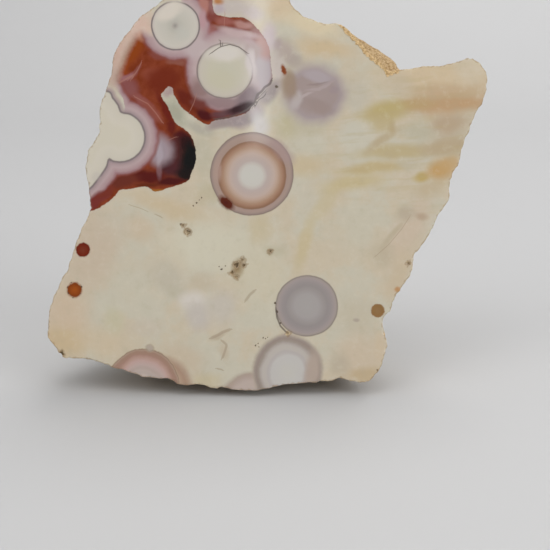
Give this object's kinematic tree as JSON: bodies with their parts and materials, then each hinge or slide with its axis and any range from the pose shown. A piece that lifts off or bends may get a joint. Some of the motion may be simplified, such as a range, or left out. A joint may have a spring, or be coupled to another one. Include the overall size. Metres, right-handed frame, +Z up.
{
  "type": "ocean jasper display stone",
  "caption": "Free-standing piece of ocean jasper with a flat polished face that leans back, rough weathered sides and back, and a flat ground base.",
  "frame": {"origin": "middle of the bounding box, on the surface that the stone stands on", "axes": "+Z up, -Y toward the viewer: the polished face looks that way and leans back by 15 degrees, +X to the right as seen from there"},
  "size_m": [0.1, 0.041, 0.095],
  "materials": {
    "jasper": "polished on the face, matt to sandy on the sides and back"
  },
  "bodies": {
    "root": {"ocean_jasper": "jasper"}
  },
  "joints": []
}
